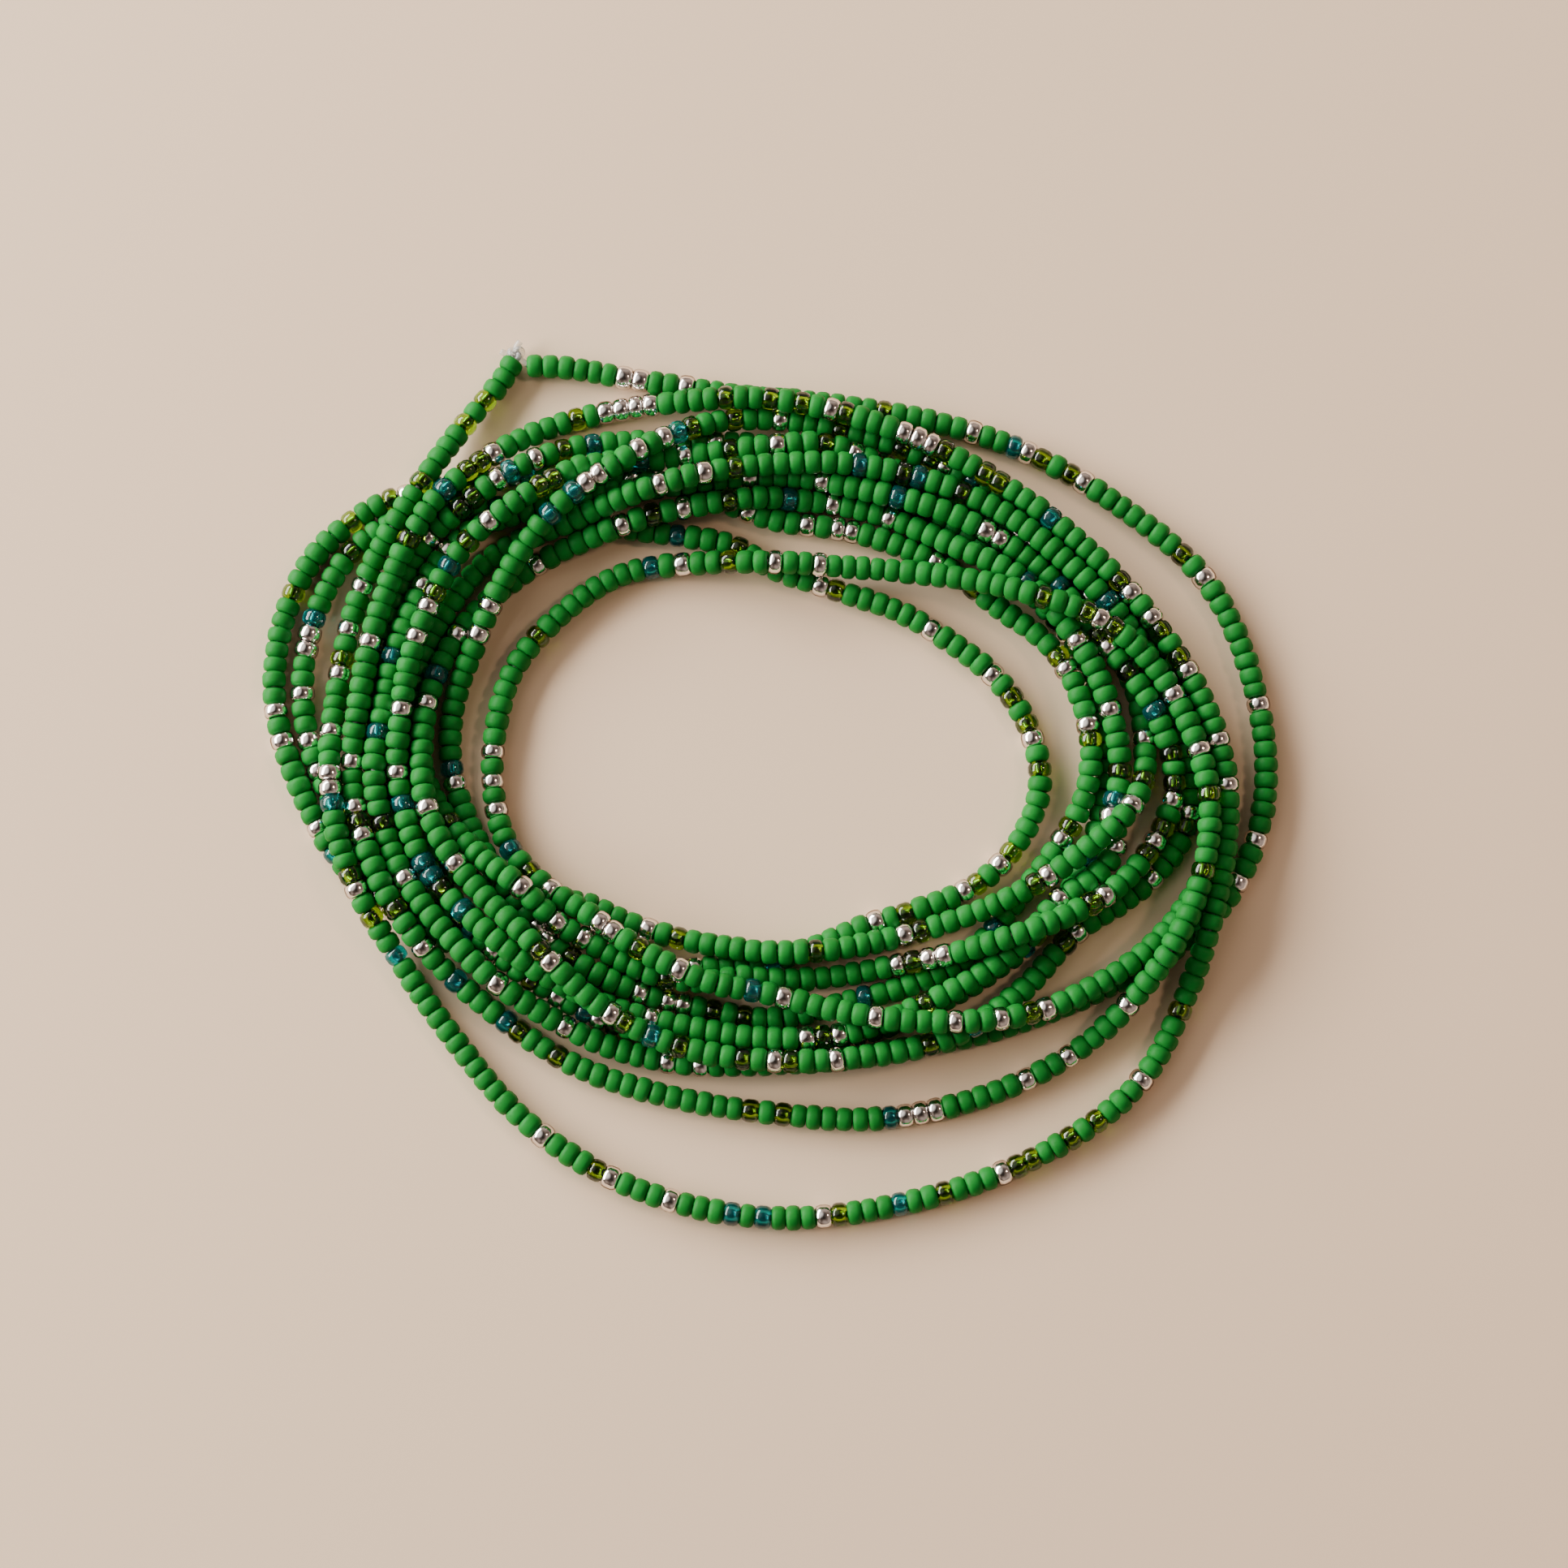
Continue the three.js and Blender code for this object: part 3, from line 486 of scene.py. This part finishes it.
# Beads of uneven length sit close one after another: their shares of the whole line add up to all of it.
spans = 1 + bead["lengthVaries"] * varied(number)
along = np.concatenate([[0], np.cumsum(np.linalg.norm(np.diff(beadCentres, axis=0), axis=1))])
spans *= (along[-1] + string["beadPitch"]) / spans.sum()
here = np.cumsum(spans) - spans / 2 - string["beadPitch"] / 2
clock = np.interp(here, along, clock)
beadCentres = np.column_stack([np.interp(here, along, beadCentres[:, axis]) for axis in range(3)])

kinds = chooseKinds(beadOrder, clock)
print("kinds:", {letter: int((kinds == letter).sum()) for letter in "gsot"})

ahead, side, up = directions(beadCentres)
halfLengths = spans / 2
halfWidths = bead["width"] / 2 * (1 + bead["widthVaries"] * varied(number))
phases = random.uniform(0, 2 * np.pi, number)
tones = random.uniform(0, 1, number)
lean = bead["lean"] * varied((2, number, 1))
# a wide or a leaning bead is lifted until it stands on the surface
standing = halfWidths + bead["straight"] * halfLengths * np.abs(lean[1, :, 0])
beadCentres[:, 2] = np.maximum(beadCentres[:, 2], standing)
beadAhead = ahead + lean[0] * side + lean[1] * up
beadAhead /= np.linalg.norm(beadAhead, axis=1, keepdims=True)
beadSide = np.cross(up, beadAhead)
beadSide /= np.linalg.norm(beadSide, axis=1, keepdims=True)
beadUp = np.cross(beadAhead, beadSide)


# Every piece rides on the one body and stands for a node of the solids.
def fitPiece(piece, node):
    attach(piece, "root")
    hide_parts(node)


# The chosen beads, or what is inside them, as one mesh.
def makeBeads(name, chosen, profile, material):
    verts, quads = turnedBodies(beadCentres[chosen], beadAhead[chosen], beadSide[chosen], beadUp[chosen],
                                np.array(profile), halfLengths[chosen], halfWidths[chosen], bead["sides"],
                                phases[chosen])
    tone = np.repeat(tones[chosen], len(profile) * bead["sides"])
    fitPiece(linkMesh(name, verts, [quads], material, tone), "bead_string")
    print(name, chosen.sum(), "beads,", 2 * len(quads), "triangles")


makeBeads("green_beads", kinds == "g", bead["outline"], greenGlass)
makeBeads("olive_beads", kinds == "o", bead["outline"], oliveGlass)
makeBeads("olive_linings", kinds == "o", bead["sleeve"], silvering)
makeBeads("teal_beads", kinds == "t", bead["outline"], tealGlass)
makeBeads("teal_linings", kinds == "t", bead["sleeve"], silvering)
makeBeads("silver_beads", kinds == "s", bead["outline"], silverBead)

# Elastic
elastic = {
    "width": 0.62,
    "sides": 8,
    "colour": (0.96, 0.96, 0.94),
    "roughness": 0.22,
    "ior": 1.42,
    "clearness": 0.75,
    "bumpScale": 2500,
    "bumpDetail": 3.0,
    "bumpDepth": 0.00003,
    "bumpStrength": 0.3,
}
clearElastic, tree, shader = principled("clearElastic", {
    "Base Color": (*elastic["colour"], 1),
    "Roughness": elastic["roughness"],
    "IOR": elastic["ior"],
    "Transmission Weight": elastic["clearness"]})
addBump(tree, shader, elastic)

verts, quads = tube(beadCentres, elastic["width"] / 2, elastic["sides"])
ends = tubeEnds(beadCentres, elastic["sides"])
fitPiece(linkMesh("elastic_cord", verts, [quads, ends], clearElastic), "bead_string")
print("elastic made")

# Knot: the two ends of the elastic tied together outside the corner, with two clipped tails.
knot = {
    "halfWidth": 0.30,  # of the elastic where it is pulled tight
    "size": 0.215,  # of the loops, across
    "height": 0.30,  # of the loops, up and down
    "points": 64,
    "width": 1.9,  # of the whole knot
    "nest": 0.30,  # how far it sits in between the two end beads
    "leadStart": 0.2,  # outwards from the end bead's middle
    "leadBend": 1.0,  # how far out a lead heads before it turns to the knot
    "steps": 9,  # points along a lead or a tail
    "tails": [(-48, 1.3, 0.1), (52, 1.5, 0.2)],  # degrees off the way out, how far it reaches, how far up
    "tailBend": 0.2,
}


# A trefoil as a closed line: x = sin t + 2 sin 2t, y = cos t - 2 cos 2t, z = -sin 3t, each times its size.
def trefoil(middle, k):
    t = 2 * np.pi * np.arange(k["points"]) / k["points"]
    return middle + np.column_stack([k["size"] * (np.sin(t) + 2 * np.sin(2 * t)),
                                     k["size"] * (np.cos(t) - 2 * np.cos(2 * t)),
                                     -k["height"] * np.sin(3 * t)])


# A lead bends from its bead to the knot: (1 - t)^2 * first + 2t (1 - t) * bend + t^2 * end.
def lead(start, out, end, t, k):
    first = start + out * k["leadStart"]
    bend = start + out * k["leadBend"]
    return (1 - t) ** 2 * first + 2 * t * (1 - t) * bend + t**2 * end


# A tail runs off at its angle, swings aside by a half wave and lifts with the square of the way along.
def tail(start, outward, t, k, angle, reach, lift):
    a = math.radians(angle)
    way = np.array([outward[0] * math.cos(a) - outward[1] * math.sin(a),
                    outward[0] * math.sin(a) + outward[1] * math.cos(a), 0])
    swing = np.array([-way[1], way[0], 0]) * k["tailBend"] * np.sin(np.pi * t)
    return start + way * reach * t + swing + [0, 0, lift] * t**2


def unit(vector):
    return vector / np.linalg.norm(vector)


firstOut = unit(beadCentres[0] - beadCentres[1])
lastOut = unit(beadCentres[-1] - beadCentres[-2])
outward = unit(firstOut + lastOut)
knotMiddle = ((beadCentres[0] + beadCentres[-1]) / 2
              + outward * ((string["beadPitch"] + knot["width"]) / 2 - knot["nest"]))
t = np.linspace(0, 1, knot["steps"])[:, None]
openLines = [lead(beadCentres[0], firstOut, knotMiddle, t, knot),
             lead(beadCentres[-1], lastOut, knotMiddle, t, knot)]
openLines += [tail(knotMiddle, outward, t, knot, *choice) for choice in knot["tails"]]

verts, quads = tube(trefoil(knotMiddle, knot), knot["halfWidth"], elastic["sides"], closed=True)
verts, quads, ends = [verts], [quads], []
for line in openLines:
    first = sum(map(len, verts))
    lineVerts, lineQuads = tube(line, knot["halfWidth"], elastic["sides"])
    verts.append(lineVerts)
    quads.append(lineQuads + first)
    ends.append(tubeEnds(line, elastic["sides"]) + first)
faces = [np.concatenate(quads), np.concatenate(ends)]
tied = linkMesh("tied_knot", np.concatenate(verts), faces, clearElastic)
fitPiece(tied, "elastic_knot")
print("knot tied")

# Room, in metres: a plain pale floor, a wide low window on the left, a small warm lamp, and a weak fill
# from all round.
room = {
    "floorSize": 3.0,
    "floorColour": (0.83, 0.61, 0.415),
    "floorRoughness": 0.7,
    "windowPlace": (-0.66, 0.31, 0.325),
    "windowSize": (1.25, 0.34),
    "windowPower": 27.5,
    "windowColour": (1.0, 0.985, 0.96),
    "lampPlace": (0.42, 0.10, 0.60),
    "lampSize": (0.10, 0.10),
    "lampPower": 0.9,
    "lampColour": (1.0, 0.72, 0.55),
    "fill": 0.5,
    "overhead": 0.12,  # the fill from straight above
    "overheadFrom": 0.6,  # how steeply up the fill starts to fade, 1 being straight up
    "wallDark": (0.20, 0.14, 0.11),
    "wallLight": (0.85, 0.66, 0.56),
    "wallRamp": (0.38, 0.66),  # noise at which the walls are darkest and lightest
    "wallPatches": 1.3,
    "wallDetail": 1.5,
    "glow": 1.1,  # the pale wall round the window
    "glowFrom": 0.72,  # how near to its middle it starts, 1 being the middle
    "glowTowards": (-0.62, 0.30, 0.72),
    "glowColour": (1.0, 0.95, 0.90),
}
floorMaterial, _, _ = principled("paleFloor", {
    "Base Color": (*room["floorColour"], 1), "Roughness": room["floorRoughness"]})
half = room["floorSize"] / 2 / mm
floor = linkMesh("floor", [(-half, -half, 0), (half, -half, 0), (half, half, 0), (-half, half, 0)],
                 [[(0, 1, 2, 3)]], floorMaterial)


# Goes softly from one value to another as what goes in rises from a start to 1.
def addStep(tree, start, low, high):
    step = addNode(tree, "ShaderNodeMapRange", {"From Min": start, "To Min": low, "To Max": high})
    step.interpolation_type = "SMOOTHSTEP"
    return step


# The room that the silver mirrors: dark and light warm patches, from noise on the direction looked in, and
# a glow where that direction comes near the window's, by their dot product.
world = bpy.data.worlds.new("room")
bpy.context.scene.world = world
world.use_nodes = True
tree = world.node_tree
around = tree.nodes.new("ShaderNodeTexCoord")
background = tree.nodes["Background"]
patches = addNode(tree, "ShaderNodeTexNoise", {"Scale": room["wallPatches"], "Detail": room["wallDetail"]})
walls = addRamp(tree, (room["wallDark"], room["wallLight"]), room["wallRamp"])
tree.links.new(around.outputs["Generated"], patches.inputs["Vector"])
tree.links.new(patches.outputs["Fac"], walls.inputs["Fac"])
tree.links.new(walls.outputs["Color"], background.inputs["Color"])
height = tree.nodes.new("ShaderNodeSeparateXYZ")
dimmed = addStep(tree, room["overheadFrom"], room["fill"], room["overhead"])
tree.links.new(around.outputs["Generated"], height.inputs["Vector"])
tree.links.new(height.outputs["Z"], dimmed.inputs["Value"])
tree.links.new(dimmed.outputs["Result"], background.inputs["Strength"])
towards = tree.nodes.new("ShaderNodeVectorMath")
towards.operation = "DOT_PRODUCT"
towards.inputs[1].default_value = room["glowTowards"]
nearness = addStep(tree, room["glowFrom"], 0.0, room["glow"])
glow = addNode(tree, "ShaderNodeBackground", {"Color": (*room["glowColour"], 1)})
both = tree.nodes.new("ShaderNodeAddShader")
tree.links.new(around.outputs["Generated"], towards.inputs[0])
tree.links.new(towards.outputs["Value"], nearness.inputs["Value"])
tree.links.new(nearness.outputs["Result"], glow.inputs["Strength"])
tree.links.new(background.outputs["Background"], both.inputs[0])
tree.links.new(glow.outputs["Background"], both.inputs[1])
tree.links.new(both.outputs["Shader"], tree.nodes["World Output"].inputs["Surface"])


# A soft light, as wide and as high as size says, that looks at the middle of the coil.
def addLight(name, place, size, power, colour):
    light = bpy.data.lights.new(name, "AREA")
    light.shape = "RECTANGLE"
    light.size, light.size_y = size
    light.energy, light.color = power, colour
    item = bpy.data.objects.new(name, light)
    item.location = place
    tilt = math.atan2(math.hypot(place[0], place[1]), place[2])
    item.rotation_euler = (tilt, 0, math.atan2(place[0], -place[1]))
    bpy.context.collection.objects.link(item)


addLight("window", room["windowPlace"], room["windowSize"], room["windowPower"], room["windowColour"])
addLight("lamp", room["lampPlace"], room["lampSize"], room["lampPower"], room["lampColour"])
print("room lit")

# Camera: almost straight down, a little from the front
view = {
    "target": (0.00143, -0.00075, 0.0),
    "tilt": 8.0,
    "distance": 0.36,
    "widthSeen": 0.1521,  # of the surface, across the picture
    "nearest": 0.01,  # nothing closer shows
}
camera = bpy.data.objects.new("camera", bpy.data.cameras.new("camera"))
bpy.context.collection.objects.link(camera)
tilt = math.radians(view["tilt"])
camera.location = (view["target"][0], view["target"][1] - view["distance"] * math.sin(tilt),
                   view["target"][2] + view["distance"] * math.cos(tilt))
camera.rotation_euler = (tilt, 0, 0)
camera.data.sensor_fit = "HORIZONTAL"
camera.data.angle = 2 * math.atan(view["widthSeen"] / 2 / view["distance"])
camera.data.clip_start = view["nearest"]
bpy.context.scene.camera = camera

print("scene made")
